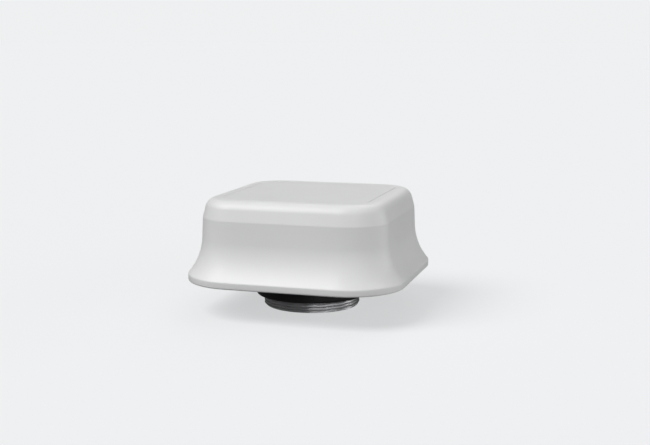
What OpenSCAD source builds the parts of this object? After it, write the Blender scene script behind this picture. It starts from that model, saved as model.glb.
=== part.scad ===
// A smart satellite-positioning receiver that mounts through a round hole in a roof or panel.
// The neck's end face is at z = 0 and the neck's axis is the Z axis. The front faces -Y.

/* [Radome] */
// Width across the square base lip
base_w = 112; // [104:0.5:140]
// Width across the upright walls above the flare
side_w = 96.2; // [80:0.1:98]
// Height from the rim to the flat top
body_h = 42; // [35:0.5:60]
// Corner radius of the base lip, seen from above
base_corner_r = 29.5; // [24:0.5:32]
// Corner radius of the upright walls, seen from above
side_corner_r = 21; // [16:0.5:24]
// Wall thickness of the moulded cover
cover_t = 2.5; // [2:0.1:3.2]
// Radius on the lower edge of the rim
rim_edge_r = 0.8; // [0.3:0.1:1.5]
// Height of the lip's upright face
lip_face_h = 3; // [2.6:0.1:4]
// Height of the whole lip, where the flare begins
lip_h = 3.8; // [3.4:0.1:5]
// How far the lip's rounded top edge draws in
lip_edge_in = 0.3; // [0.2:0.1:1]
// Height at which the flare has become the upright wall
flare_h = 22; // [18:0.5:24]
// Draft of the upright wall, in degrees
wall_draft = 2.5; // [0.5:0.5:4]
// Depth below the top at which the wall turns into the shoulder
shoulder_drop = 9.8; // [9:0.1:11]
// Lean of the shoulder, in degrees from upright
shoulder_lean = 15; // [8:1:20]
// Radius that rounds the shoulder into the top
crown_r = 6; // [4:0.1:7]
// Width of the blank square inlay on top
label_w = 75.6; // [50:0.2:76]
// Thickness of the inlay, which lies flush
label_t = 0.3; // [0.2:0.1:0.8]
// Corner radius of the inlay
label_corner_r = 9; // [4:0.5:12]
// Width of the groove that is left round the inlay
label_groove = 0.2; // [0.1:0.05:0.5]

/* [Base plate] */
// Thickness of the base plate
base_t = 3; // [2.8:0.1:5]
// How far the base plate is set up inside the rim
base_recess = 0.3; // [0.1:0.1:1]
// Clearance round the base plate
base_clear = 0.2; // [0.1:0.05:0.5]
// Width of the cover's ledge above the base plate's edge
ledge_w = 3.9; // [3:0.1:5]
// Width of the perimeter seal
seal_w = 2; // [1.5:0.1:2.4]
// Depth of the perimeter seal's groove
seal_groove = 1; // [0.6:0.1:1.6]
// Gap between the base plate and the ledge, which the seal bridges
seal_gap = 0.2; // [0.1:0.05:0.5]
// Radius of the cover's screw bosses
boss_r = 4; // [3.5:0.1:5]

/* [Neck and fixing] */
// Major diameter of the neck's thread
neck_d = 50; // [40:0.5:62]
// How far the neck stands down below the rim
neck_drop = 16.8; // [14:0.1:40]
// Pitch of the neck's thread
thread_pitch = 1.5; // [1.5, 2]
// Wall of the neck from the thread's crest to the bore
neck_wall = 3.5; // [3:0.1:5]
// Chamfer on the neck's open end
neck_chamfer = 0.8; // [0.4:0.1:1.5]
// How far the neck's inner flange reaches past the thread
flange_reach = 6.5; // [6:0.1:9]
// Thickness of that flange
flange_t = 3; // [2:0.1:5]
// Thickness of the gasket under the base plate
gasket_t = 1.8; // [1:0.1:4]
// Height of the gasket's raised sealing ring
bead_h = 0.4; // [0.2:0.1:1]
// Width of the raised sealing ring
bead_w = 4; // [2:0.1:6]
// Thickness of the thrust washer
washer_t = 1.5; // [1:0.1:3]
// How far the thrust washer reaches past the thread
washer_reach = 6; // [4:0.1:7]
// Height of the lock nut
nut_h = 8; // [6:0.1:12]
// Wall of the lock nut outside the thread
nut_wall = 4.1; // [3.5:0.1:6]
// Radius on the lock nut's lower outer edge
nut_edge_r = 1.2; // [0.4:0.1:2.5]
// Radial running clearance of the nut on the neck
nut_clear = 0.1; // [0.05:0.01:0.3]
// Radial clearance of the washer and the base plate on the neck
ring_clear = 0.3; // [0.1:0.05:0.6]

/* [Connector] */
// Depth of the connector plate inside the neck
plate_depth = 15; // [12:0.1:30]
// Thickness of the connector plate
plate_t = 2.5; // [2:0.1:4]
// Diameter of the connector's coupling thread
conn_d = 12; // [10:0.5:14]
// Length of the coupling thread
conn_len = 8; // [6:0.1:10]
// Number of contacts
contact_count = 8; // [4:1:8]
// Radius of the contacts' circle
contact_circle_r = 2.75; // [2.5:0.05:3]
// Radius of one contact
contact_r = 0.4; // [0.3:0.05:0.5]

/* [Boards] */
// Thickness of both circuit boards
board_t = 1.6; // [1:0.1:2.4]
// Gap between the boards' edges and the cover's wall
board_gap = 5; // [4:0.1:8]
// Height of the standoffs that carry the main board
standoff_h = 6.5; // [6:0.1:9]
// Distance of the standoffs from the boards' side edges
standoff_in = 5.5; // [4.5:0.1:7]
// Distance of the standoffs from the middle of those edges
standoff_y = 20; // [16:0.5:24]
// Room left under the radome's top
antenna_clear = 3; // [2:0.1:6]
// Width of the lower ceramic patch
lower_patch_w = 46; // [36:0.5:52]
// Height of the lower ceramic patch
lower_patch_h = 5; // [3:0.1:6]
// Width of the upper ceramic patch
upper_patch_w = 34; // [25:0.5:36]
// Height of the upper ceramic patch
upper_patch_h = 4; // [3:0.1:5]

/* [Hidden] */
$fn = 64;

// A cut runs this far past the face that it goes through
over = 0.5;
// Radial gap of a plain part in its hole
slip = 0.05;
// Radial gap of a screw's shank in the hole that it passes through
shank_clear = 0.15;
// Depth that a threaded hole runs past the end of its screw or stud
blind_gap = 0.2;
// A screw's socket: its floor's height and its radius, as shares of the head's
socket_floor = 0.45;
socket_width = 0.5;

// Levels, from the neck's end upwards
rim_z = neck_drop;
base_z = rim_z + base_recess;
base_top = base_z + base_t;
ledge_z = base_top + seal_gap;
top_z = rim_z + body_h;
inner_top = top_z - cover_t;
flange_top = base_top + flange_t;
gasket_z = base_z - gasket_t;
seat_z = gasket_z - bead_h;
washer_z = gasket_z - washer_t;
nut_z = washer_z - nut_h;
plate_z = plate_depth;
plate_top = plate_z + plate_t;

// Radome outline
base_half = base_w / 2;
side_half = side_w / 2;
lip_half = base_half - lip_edge_in;
shoulder_z = body_h - shoulder_drop;
crown_z = body_h - crown_r;
// Half width at which the shoulder meets the crown, and the centre of the crown's arc
crown_foot_z = crown_z + crown_r * sin(shoulder_lean);
crown_foot_half = side_half - (crown_foot_z - shoulder_z) * tan(shoulder_lean);
crown_centre = crown_foot_half - crown_r * cos(shoulder_lean);
// The flare is one arc that leaves the wall's draft line and ends at the lip
flare_half = side_half + (shoulder_z - flare_h) * tan(wall_draft);
flare_chord_w = lip_half - flare_half;
flare_chord_h = flare_h - lip_h;
lip_lean = 2 * atan(flare_chord_w / flare_chord_h) - wall_draft;
flare_r = norm([flare_chord_w, flare_chord_h]) / (2 * sin((lip_lean - wall_draft) / 2));
flare_centre = [flare_half + flare_r * cos(wall_draft), flare_h + flare_r * sin(wall_draft)];
corner_steps = 10;
flare_steps = 10;
crown_steps = 7;

// Neck
neck_r = neck_d / 2;
neck_bore_r = neck_r - neck_wall;
plate_ledge = 5;
flange_r = neck_r + flange_reach;
thread_depth = 0.61 * thread_pitch;
thread_flat = thread_pitch / 8;
relief_r = neck_r - 0.2;
thread_top = gasket_z - 0.3;

// Screws, as [shank radius, head radius, head height]
cover_screw = [1.5, 2.9, 1.5];
neck_screw = [1.25, 2.4, 1.6];
plate_screw = [1, 1.8, 1.2];
antenna_screw = [1.4, 2.6, 1.8];
cover_screw_len = 10;
neck_screw_count = 6;
neck_screw_circle = neck_r + 3.3;
plate_screw_count = 4;
plate_screw_circle = neck_bore_r - 2.3;
plate_screw_grip = 3.5;

// Cover bosses, tucked into the corners of the upright walls
corner_centre = side_half - side_corner_r;
boss_sink = 0.2;
boss_root = 2;
boss_xy = corner_centre + (side_corner_r - cover_t + boss_sink - boss_r) * cos(45);
corners = [[1, 1], [-1, 1], [-1, -1], [1, -1]];

// Boards
board_half = side_half - cover_t - board_gap;
board_z = base_top + standoff_h;
board_top = board_z + board_t;
electrode_t = 0.2;
plane_t = 0.3;
upper_patch_z = inner_top - antenna_clear - upper_patch_h - electrode_t;
lower_electrode_z = upper_patch_z - electrode_t;
lower_patch_z = lower_electrode_z - lower_patch_h;
plane_z = lower_patch_z - plane_t;
antenna_z = plane_z - board_t;
spacer_h = antenna_z - board_top;
stud_r = 1.45;
stud_len = 3;
hex_r = 2.9;
// On a narrow board the standoffs move apart, to stay clear of the neck's flange
standoff_clear = 0.5;
standoff_x = board_half - standoff_in;
flange_reach_y = sqrt(max(0, pow(flange_r + hex_r + standoff_clear, 2) - pow(standoff_x, 2)));
standoff_spread = max(standoff_y, flange_reach_y);
standoff_spots = [for (c = corners) [c[0] * standoff_x, c[1] * standoff_spread]];
lower_feeds = [[9, 0], [0, 9]];
upper_feeds = [[-4, 0], [0, -4]];
feed_r = 0.5;
feed_clear = 0.4;
feed_tail = 0.8;
feed_head = 0.3;
lower_electrode_w = lower_patch_w - 4;
upper_electrode_w = upper_patch_w - 7;
coax_spot = [16, -26];
coax_socket_r = 2.2;
coax_socket_h = 2;

// Connector
conn_r = conn_d / 2;
conn_seal_t = 1;
conn_flange_t = 2;
conn_flange_r = conn_r + 2.8;
conn_flange_z = plate_z - conn_seal_t - conn_flange_t;
conn_z = conn_flange_z - conn_len;
conn_top = plate_top + 4.5;
conn_cavity_r = conn_r - 1.3;
insert_r = conn_r - 1.6;
insert_z = conn_flange_z - 1;
conn_stem_r = conn_r - 0.2;
pin_tip_z = conn_z + 1.5;
pin_tip_h = 0.5;
conn_chamfer = 0.4;
conn_flat = 0.6;
conn_key = 0.8;
conn_key_z = conn_z + 1;
insert_top = conn_top + 0.5;

// Vent in the connector plate, at its distance from the neck's bore
vent_in = 8;
vent_spot = [vent_in - neck_bore_r, 0];
vent_stem_r = 2.5;
vent_cap_r = 4;
vent_cap_t = 2.5;
vent_seal_t = 0.8;

// ---- Shared shapes ----

// Outline of a rounded square with true arcs
module rounded_square(half, r) {
    square([2 * half, 2 * (half - r)], center = true);
    square([2 * (half - r), 2 * half], center = true);
    for (c = corners)
        translate((half - r) * c)
            circle(r);
}

// A rounded-square plate from z, h high
module rounded_plate(half, r, z, h) {
    translate([0, 0, z])
        linear_extrude(h)
            rounded_square(half, r);
}

// A ring between two radii from z, h high
module ring(outer, inner, z, h) {
    difference() {
        translate([0, 0, z])
            cylinder(r = outer, h = h);
        translate([0, 0, z - over])
            cylinder(r = inner, h = h + 2 * over);
    }
}

// Holes of radius r at the given spots from z, h high
module holes(spots, r, z, h) {
    for (p = spots)
        translate([p[0], p[1], z])
            cylinder(r = r, h = h, $fn = 32);
}

// Spots spread evenly on a circle
function on_circle(count, r, start = 0) =
    [for (i = [0:count - 1]) r * [cos(start + i * 360 / count), sin(start + i * 360 / count)]];

// A screw at its head's seat: the shank runs down, the head stands up, and a socket is cut in it
module screw(size, length) {
    translate([0, 0, -length])
        cylinder(r = size[0], h = length + size[2] / 2, $fn = 32);
    difference() {
        cylinder(r = size[1], h = size[2], $fn = 32);
        translate([0, 0, size[2] * socket_floor])
            cylinder(r = size[1] * socket_width, h = size[2], $fn = 6);
    }
}

// A box on its lower face's centre
module block(x, y, size, z) {
    translate([x - size[0] / 2, y - size[1] / 2, z])
        cube(size);
}

// One ring of points round a rounded square at height z
function outline(half, r, z) = [
    for (k = [0:3])
        for (i = [0:corner_steps])
            let (a = 90 * (k + i / corner_steps))
                [(half - r) * corners[k][0] + r * cos(a), (half - r) * corners[k][1] + r * sin(a), z]
];

// A closed skin through sections given as [half width, corner radius, height]
module loft(sections) {
    n = 4 * (corner_steps + 1);
    last = len(sections) - 1;
    points = [for (s = sections) each outline(s[0], s[1], s[2])];
    sides = [
        for (k = [0:last - 1])
            for (i = [0:n - 1])
                let (a = k * n + i, b = k * n + (i + 1) % n)
                    each [[a, a + n, b + n], [a, b + n, b]]
    ];
    floor_face = [for (i = [0:n - 1]) i];
    roof_face = [for (i = [n - 1:-1:0]) last * n + i];
    polyhedron(points = points, faces = concat([floor_face], sides, [roof_face]), convexity = 6);
}

// Corner radius of the cover's outside at a half width: it grows down the flare and shrinks over the crown
function corner_at(half) =
    half > side_half
        ? side_corner_r + (base_corner_r - side_corner_r) * (half - side_half) / (base_half - side_half)
        : side_corner_r - (side_half - half);

// A section of the cover at a half width and a height above the rim; t is how far inside the skin it is
function section(half, z, t = 0) = [half, corner_at(half + t) - t, rim_z + z];

// A section on the flare's arc at a lean
function flare(lean, t = 0) =
    section(flare_centre[0] - (flare_r + t) * cos(lean), flare_centre[1] - (flare_r + t) * sin(lean), t);

// A section on the crown's arc at a lean
function crown(lean, t = 0) =
    section(crown_centre + (crown_r - t) * cos(lean), crown_z + (crown_r - t) * sin(lean), t * cos(lean));

outer_sections = concat(
    [for (i = [0:2]) section(base_half - rim_edge_r * (1 - sin(45 * i)), rim_edge_r * (1 - cos(45 * i)))],
    [for (i = [0:2]) section(base_half - lip_edge_in * (1 - cos(45 * i)),
        lip_face_h + (lip_h - lip_face_h) * sin(45 * i))],
    [for (i = [1:flare_steps]) flare(lip_lean + (wall_draft - lip_lean) * i / flare_steps)],
    [section(side_half, shoulder_z)],
    [for (i = [0:crown_steps]) crown(shoulder_lean + (90 - shoulder_lean) * i / crown_steps)]
);

// The inside begins at the ledge as a straight well and then follows the outside
ledge_half = base_half - cover_t - base_clear - ledge_w;
well_lean = acos((flare_centre[0] - ledge_half) / (flare_r + cover_t));
inner_sections = concat(
    [section(ledge_half, ledge_z - rim_z - over, cover_t)],
    [for (i = [0:flare_steps - 1])
        flare(well_lean + (wall_draft - well_lean) * i / (flare_steps - 1), cover_t)],
    [section(side_half - cover_t, shoulder_z, cover_t)],
    [for (i = [0:crown_steps]) crown(shoulder_lean + (90 - shoulder_lean) * i / crown_steps, cover_t)]
);

// ---- Housing ----

module radome_cover() {
    color("whitesmoke")
        difference() {
            union() {
                difference() {
                    loft(outer_sections);
                    rounded_plate(base_half - cover_t, base_corner_r - cover_t, rim_z - over,
                        ledge_z - rim_z + over);
                    loft(inner_sections);
                }
                holes(boss_xy * corners, boss_r, base_top, rim_z + shoulder_z + boss_root - base_top);
            }
            holes(boss_xy * corners, cover_screw[0] + slip, base_top - over, cover_screw_len);
            rounded_plate(label_w / 2 + label_groove, label_corner_r + label_groove, top_z - label_t,
                label_t + over);
        }
}

module top_inlay() {
    color("white")
        rounded_plate(label_w / 2, label_corner_r, top_z - label_t, label_t);
}

plate_half = base_half - cover_t - base_clear;
plate_corner = base_corner_r - cover_t - base_clear;
seal_half = plate_half - (ledge_w - seal_w) / 2 + base_clear;
seal_corner = plate_corner - (ledge_w - seal_w) / 2 + base_clear;
head_recess = cover_screw[2] + 0.1;
head_clear = 0.3;

module base_plate() {
    color("dimgray")
        difference() {
            rounded_plate(plate_half, plate_corner, base_z, base_t);
            translate([0, 0, base_z - over])
                cylinder(r = neck_r + ring_clear, h = base_t + 2 * over);
            difference() {
                rounded_plate(seal_half, seal_corner, base_top - seal_groove, seal_groove + over);
                rounded_plate(seal_half - seal_w, seal_corner - seal_w, base_top - seal_groove - over,
                    seal_groove + 3 * over);
            }
            holes(boss_xy * corners, cover_screw[1] + head_clear, base_z - over, head_recess + over);
            holes(boss_xy * corners, cover_screw[0] + shank_clear, base_z, base_t + over);
            holes(on_circle(neck_screw_count, neck_screw_circle, 30), neck_screw[0] + slip,
                base_top - neck_screw_grip, neck_screw_grip + over);
            holes(standoff_spots, stud_r + slip, base_top - standoff_grip, standoff_grip + over);
        }
}

module perimeter_seal() {
    color("black")
        difference() {
            rounded_plate(seal_half, seal_corner, base_top - seal_groove, seal_groove + seal_gap);
            rounded_plate(seal_half - seal_w, seal_corner - seal_w, base_top - seal_groove - over,
                seal_groove + seal_gap + 2 * over);
        }
}

module cover_screws() {
    color("silver")
        for (p = boss_xy * corners)
            translate([p[0], p[1], base_z + head_recess])
                mirror([0, 0, 1])
                    screw(cover_screw, cover_screw_len);
}

// ---- Neck and fixing ----

neck_screw_grip = 2.2;
standoff_grip = 2;
neck_seal_in = neck_r + 0.5;
neck_seal_w = 1.4;
neck_seal_h = 1.2;
free_end = nut_z - 0.1;

// Outside of the neck from its open end up: a plain end, then one crest and root for each pitch
thread_turns = floor((thread_top - free_end) / thread_pitch);
thread_outline = [
    for (i = [0:thread_turns - 1])
        let (z = free_end + i * thread_pitch)
            each [
                [neck_r - thread_depth, z + (thread_pitch - thread_flat) * 0.45],
                [neck_r - thread_depth, z + (thread_pitch - thread_flat) * 0.55],
                [neck_r, z + thread_pitch - thread_flat],
                [neck_r, z + thread_pitch]
            ]
];

module threaded_neck() {
    color("silver")
        difference() {
            rotate_extrude($fn = 96)
                polygon(concat(
                    [
                        [neck_bore_r, 0],
                        [neck_r - neck_chamfer, 0],
                        [neck_r, neck_chamfer],
                        [neck_r, free_end]
                    ],
                    thread_outline,
                    [
                        [relief_r, free_end + thread_turns * thread_pitch + neck_r - relief_r],
                        [relief_r, base_top],
                        [neck_seal_in, base_top],
                        [neck_seal_in, base_top + neck_seal_h],
                        [neck_seal_in + neck_seal_w, base_top + neck_seal_h],
                        [neck_seal_in + neck_seal_w, base_top],
                        [flange_r, base_top],
                        [flange_r, flange_top],
                        [neck_bore_r - plate_ledge, flange_top],
                        [neck_bore_r - plate_ledge, plate_top],
                        [neck_bore_r, plate_top]
                    ]
                ));
            holes(on_circle(neck_screw_count, neck_screw_circle, 30), neck_screw[0] + shank_clear,
                base_top - over, flange_t + 2 * over);
            holes(on_circle(plate_screw_count, plate_screw_circle, 45), plate_screw[0] + slip,
                plate_top - over, plate_screw_grip + blind_gap + over);
        }
}

module neck_seal() {
    color("black")
        ring(neck_seal_in + neck_seal_w - slip, neck_seal_in + slip, base_top, neck_seal_h);
}

module neck_screws() {
    color("silver")
        for (p = on_circle(neck_screw_count, neck_screw_circle, 30))
            translate([p[0], p[1], flange_top])
                screw(neck_screw, flange_t + neck_screw_grip - blind_gap);
}

// The gasket's sealing ring bears outside the thrust washer, just inside the gasket's edge
bead_r = neck_r + washer_reach + 2;
gasket_r = bead_r + bead_w + 1;

module panel_gasket() {
    color([0.12, 0.12, 0.12])
        union() {
            ring(gasket_r, neck_r + ring_clear, gasket_z, gasket_t);
            ring(bead_r + bead_w, bead_r, seat_z, bead_h + gasket_t / 2);
        }
}

module thrust_washer() {
    color("gray")
        ring(neck_r + washer_reach, neck_r + ring_clear, washer_z, washer_t);
}

nut_r = neck_r + nut_wall;
nut_bore_r = neck_r + nut_clear;
nut_chamfer = 0.5;
nut_top_edge = 0.4;
spanner_hole_count = 4;
spanner_hole_r = 1.1;
spanner_hole_depth = 3;

module lock_nut() {
    color([0.1, 0.1, 0.1])
        difference() {
            rotate_extrude($fn = 96)
                polygon(concat(
                    [[nut_bore_r + nut_chamfer, nut_z]],
                    [for (a = [-90:15:0])
                        [nut_r - nut_edge_r + nut_edge_r * cos(a), nut_z + nut_edge_r + nut_edge_r * sin(a)]],
                    [
                        [nut_r, washer_z - nut_top_edge],
                        [nut_r - nut_top_edge, washer_z],
                        [nut_bore_r, washer_z],
                        [nut_bore_r, nut_z + nut_chamfer]
                    ]
                ));
            holes(on_circle(spanner_hole_count, (nut_bore_r + nut_r) / 2, 45), spanner_hole_r,
                nut_z - over, spanner_hole_depth + over);
        }
}

// ---- Connector plate and connector ----

plate_r = neck_bore_r - 0.1;
plate_seal_w = 1.2;
plate_seal_h = 1;
plate_seal_out = plate_screw_circle - plate_screw[0] - 0.4;

module connector_plate() {
    color("gainsboro")
        difference() {
            translate([0, 0, plate_z])
                cylinder(r = plate_r, h = plate_t);
            translate([0, 0, plate_z - over])
                cylinder(r = conn_r - 0.1, h = plate_t + 2 * over);
            translate([vent_spot[0], vent_spot[1], plate_z - over])
                cylinder(r = vent_stem_r + slip, h = plate_t + 2 * over, $fn = 32);
            ring(plate_seal_out, plate_seal_out - plate_seal_w, plate_top - plate_seal_h,
                plate_seal_h + over);
            holes(on_circle(plate_screw_count, plate_screw_circle, 45), plate_screw[0] + shank_clear,
                plate_z - over, plate_t + 2 * over);
        }
}

module plate_seal() {
    color("black")
        ring(plate_seal_out - slip, plate_seal_out - plate_seal_w + slip, plate_top - plate_seal_h,
            plate_seal_h);
}

module plate_screws() {
    color("silver")
        for (p = on_circle(plate_screw_count, plate_screw_circle, 45))
            translate([p[0], p[1], plate_z])
                mirror([0, 0, 1])
                    screw(plate_screw, plate_t + plate_screw_grip);
}

vent_z = plate_z - vent_seal_t - vent_cap_t;
vent_skin = 1;
vent_duct_r = 1.2;
vent_tail = 1.5;
vent_slot_count = 6;
vent_slot_circle = 2.3;
vent_slot_r = 0.5;
vent_slot_depth = 1.2;

module vent_body() {
    color("black")
        translate([vent_spot[0], vent_spot[1], 0])
            difference() {
                union() {
                    translate([0, 0, vent_z])
                        cylinder(r = vent_cap_r, h = vent_cap_t, $fn = 48);
                    translate([0, 0, vent_z + vent_skin])
                        cylinder(r = vent_stem_r, h = plate_top + vent_tail - vent_z - vent_skin, $fn = 32);
                }
                translate([0, 0, vent_z + vent_skin])
                    cylinder(r = vent_duct_r, h = plate_top + vent_tail - vent_z, $fn = 32);
                holes(on_circle(vent_slot_count, vent_slot_circle), vent_slot_r, vent_z - over,
                    vent_slot_depth + over);
            }
}

module vent_seal() {
    color("darkslategray")
        translate([vent_spot[0], vent_spot[1], 0])
            ring(vent_cap_r - 0.4, vent_stem_r + slip, plate_z - vent_seal_t, vent_seal_t);
}

module connector_shell() {
    color("silver")
        difference() {
            rotate_extrude($fn = 64)
                polygon([
                    [conn_cavity_r, conn_z],
                    [conn_r - conn_chamfer, conn_z],
                    [conn_r, conn_z + conn_chamfer],
                    [conn_r, conn_flange_z],
                    [conn_flange_r, conn_flange_z],
                    [conn_flange_r, conn_flange_z + conn_flange_t],
                    [conn_stem_r, conn_flange_z + conn_flange_t],
                    [conn_stem_r, conn_top],
                    [insert_r + slip, conn_top],
                    [insert_r + slip, insert_z],
                    [conn_cavity_r, insert_z]
                ]);
            block(0, conn_flange_r, [2 * conn_flange_r, 2 * conn_flat, conn_flange_t + 2 * over],
                conn_flange_z - over);
        }
    color("silver")
        block(0, conn_cavity_r - conn_key / 4, [conn_key, conn_key, insert_z - conn_key_z], conn_key_z);
}

contact_spots = on_circle(contact_count, contact_circle_r, 22.5);

module connector_insert() {
    color([0.08, 0.08, 0.08])
        difference() {
            translate([0, 0, insert_z])
                cylinder(r = insert_r, h = insert_top - insert_z);
            holes(contact_spots, contact_r + slip, insert_z - over, insert_top - insert_z + 2 * over);
        }
}

module connector_pins() {
    color("gold")
        for (p = contact_spots)
            translate([p[0], p[1], pin_tip_z])
                union() {
                    cylinder(r1 = contact_r * 0.4, r2 = contact_r, h = pin_tip_h, $fn = 24);
                    translate([0, 0, pin_tip_h])
                        cylinder(r = contact_r, h = board_top + 1 - pin_tip_z - pin_tip_h, $fn = 24);
                }
}

module connector_seal() {
    color("black")
        ring(conn_flange_r - conn_flat - slip, conn_stem_r + slip, conn_flange_z + conn_flange_t,
            conn_seal_t);
}

conn_nut_r = conn_r + 2.2;
conn_nut_h = 3;

module connector_nut() {
    color("silver")
        difference() {
            translate([0, 0, plate_top])
                cylinder(r = conn_nut_r, h = conn_nut_h, $fn = 6);
            translate([0, 0, plate_top - over])
                cylinder(r = conn_stem_r + slip, h = conn_nut_h + 2 * over);
        }
}

// ---- Main board ----

board_corner_r = 3;
boss_notch = 1.2;

// A board's outline, notched round the cover's bosses
module board_outline() {
    difference() {
        rounded_square(board_half, board_corner_r);
        for (p = boss_xy * corners)
            translate(p)
                circle(boss_r + boss_notch);
    }
}

module main_board() {
    color("darkgreen")
        difference() {
            translate([0, 0, board_z])
                linear_extrude(board_t)
                    board_outline();
            holes(standoff_spots, stud_r + shank_clear, board_z - over, board_t + 2 * over);
            holes(contact_spots, contact_r + slip, board_z - over, board_t + 2 * over);
        }
}

module board_standoffs() {
    color("goldenrod")
        for (p = standoff_spots)
            translate([p[0], p[1], 0]) {
                translate([0, 0, base_top])
                    cylinder(r = hex_r, h = standoff_h, $fn = 6);
                translate([0, 0, base_top - standoff_grip + blind_gap])
                    cylinder(r = stud_r, h = board_top + stud_len - base_top + standoff_grip - blind_gap,
                        $fn = 32);
            }
}

module board_spacers() {
    color("goldenrod")
        for (p = standoff_spots)
            difference() {
                translate([p[0], p[1], board_top])
                    cylinder(r = hex_r, h = spacer_h, $fn = 6);
                translate([p[0], p[1], board_top - over])
                    cylinder(r = stud_r + slip, h = spacer_h + 2 * over, $fn = 32);
            }
}

module_size = [22, 17, 2.4];
module_spot = [-2, -24];
module_can_t = 0.4;
module_board_t = 0.8;

module receiver_module() {
    color("lightgray")
        difference() {
            block(module_spot[0], module_spot[1], module_size, board_top);
            block(module_spot[0], module_spot[1], module_size - module_can_t * [2, 2, 1],
                board_top + module_board_t - over);
        }
    color("darkgreen")
        block(module_spot[0], module_spot[1],
            [module_size[0] - 2 * module_can_t, module_size[1] - 2 * module_can_t, module_board_t],
            board_top);
}

// The processor and its memory keep their distance from the board's left edge
chip_in = 18.6;
chip_x = chip_in - board_half;
processor_size = [14, 14, 1.4];
processor_y = 12;

module processor_chip() {
    color([0.12, 0.12, 0.13])
        block(chip_x, processor_y, processor_size, board_top);
}

memory_size = [8, 10, 1];
memory_y = -6;

module memory_chip() {
    color([0.12, 0.12, 0.13])
        block(chip_x, memory_y, memory_size, board_top);
}

inductor_size = [8, 8, 4];
inductor_spot = [18, 20];

module power_inductor() {
    color("dimgray")
        block(inductor_spot[0], inductor_spot[1], inductor_size, board_top);
}

capacitor_r = 3.15;
capacitor_h = 5.7;
capacitor_foot = [6.6, 6.6, 0.8];
capacitor_spots = [[22, -10], [22, 2]];

module filter_capacitors() {
    color("silver")
        for (p = capacitor_spots)
            translate([p[0], p[1], board_top])
                union() {
                    block(0, 0, capacitor_foot, 0);
                    translate([0, 0, capacitor_foot[2] / 2])
                        cylinder(r = capacitor_r, h = capacitor_h - capacitor_foot[2] / 2);
                }
}

battery_spot = [0, 26];
battery_r = 4.8;
battery_t = 1.6;
battery_cap_r = 4.1;
battery_cap_t = 0.5;

module backup_battery() {
    color("silver")
        translate([battery_spot[0], battery_spot[1], board_top])
            union() {
                cylinder(r = battery_r, h = battery_t);
                cylinder(r = battery_cap_r, h = battery_t + battery_cap_t);
            }
}

coax_bore_r = 1.2;
coax_body_r = 1.8;
coax_end_gap = 0.2;

module coax_sockets() {
    color("gold")
        for (z = [board_top, antenna_z - coax_socket_h])
            translate([coax_spot[0], coax_spot[1], 0])
                ring(coax_socket_r, coax_bore_r, z, coax_socket_h);
}

module coax_bullet() {
    color("gold")
        translate([coax_spot[0], coax_spot[1], board_top])
            union() {
                translate([0, 0, coax_end_gap])
                    cylinder(r = coax_bore_r - slip, h = spacer_h - 2 * coax_end_gap, $fn = 32);
                translate([0, 0, coax_socket_h + coax_end_gap])
                    cylinder(r = coax_body_r, h = spacer_h - 2 * (coax_socket_h + coax_end_gap), $fn = 32);
            }
}

// ---- Antenna ----

module antenna_board() {
    color("darkgreen")
        difference() {
            translate([0, 0, antenna_z])
                linear_extrude(board_t)
                    board_outline();
            holes(standoff_spots, antenna_screw[0] + shank_clear, antenna_z - over, board_t + 2 * over);
            holes(concat(lower_feeds, upper_feeds), feed_r + slip, antenna_z - over, board_t + 2 * over);
        }
}

module ground_plane() {
    color("peru")
        difference() {
            translate([0, 0, plane_z])
                linear_extrude(plane_t)
                    board_outline();
            holes(standoff_spots, antenna_screw[0] + shank_clear, plane_z - over, plane_t + 2 * over);
            holes(concat(lower_feeds, upper_feeds), feed_r + feed_clear, plane_z - over, plane_t + 2 * over);
        }
}

module lower_patch() {
    color("linen")
        difference() {
            block(0, 0, [lower_patch_w, lower_patch_w, lower_patch_h], lower_patch_z);
            holes(concat(lower_feeds, upper_feeds), feed_r + slip, lower_patch_z - over,
                lower_patch_h + 2 * over);
        }
}

module lower_electrode() {
    color("silver")
        difference() {
            block(0, 0, [lower_electrode_w, lower_electrode_w, electrode_t], lower_electrode_z);
            holes(concat(lower_feeds, upper_feeds), feed_r + slip, lower_electrode_z - over,
                electrode_t + 2 * over);
        }
}

module upper_patch() {
    color("linen")
        difference() {
            block(0, 0, [upper_patch_w, upper_patch_w, upper_patch_h], upper_patch_z);
            holes(upper_feeds, feed_r + slip, upper_patch_z - over, upper_patch_h + 2 * over);
        }
}

module upper_electrode() {
    color("silver")
        difference() {
            block(0, 0, [upper_electrode_w, upper_electrode_w, electrode_t],
                upper_patch_z + upper_patch_h);
            holes(upper_feeds, feed_r + slip, upper_patch_z + upper_patch_h - over, electrode_t + 2 * over);
        }
}

module feed_pins() {
    color("gold") {
        holes(lower_feeds, feed_r, antenna_z - feed_tail, upper_patch_z - antenna_z + feed_tail);
        holes(upper_feeds, feed_r, antenna_z - feed_tail,
            upper_patch_z + upper_patch_h + electrode_t + feed_head - antenna_z + feed_tail);
    }
}

shield_size = [34, 34, 2.5];
shield_t = 0.3;

module amplifier_shield() {
    color("lightgray")
        difference() {
            block(0, 0, shield_size, antenna_z - shield_size[2]);
            block(0, 0, shield_size - shield_t * [2, 2, 1], antenna_z - shield_size[2] + shield_t);
        }
}

amplifier_size = [4, 4, 1];
amplifier_spots = [[10, -8], [-10, 8]];

module amplifier_chips() {
    color([0.12, 0.12, 0.13])
        for (p = amplifier_spots)
            block(p[0], p[1], amplifier_size, antenna_z - amplifier_size[2]);
}

antenna_screw_grip = 2.6;

module antenna_screws() {
    color("silver")
        for (p = standoff_spots)
            translate([p[0], p[1], plane_z + plane_t])
                screw(antenna_screw, plane_t + board_t + antenna_screw_grip);
}

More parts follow.
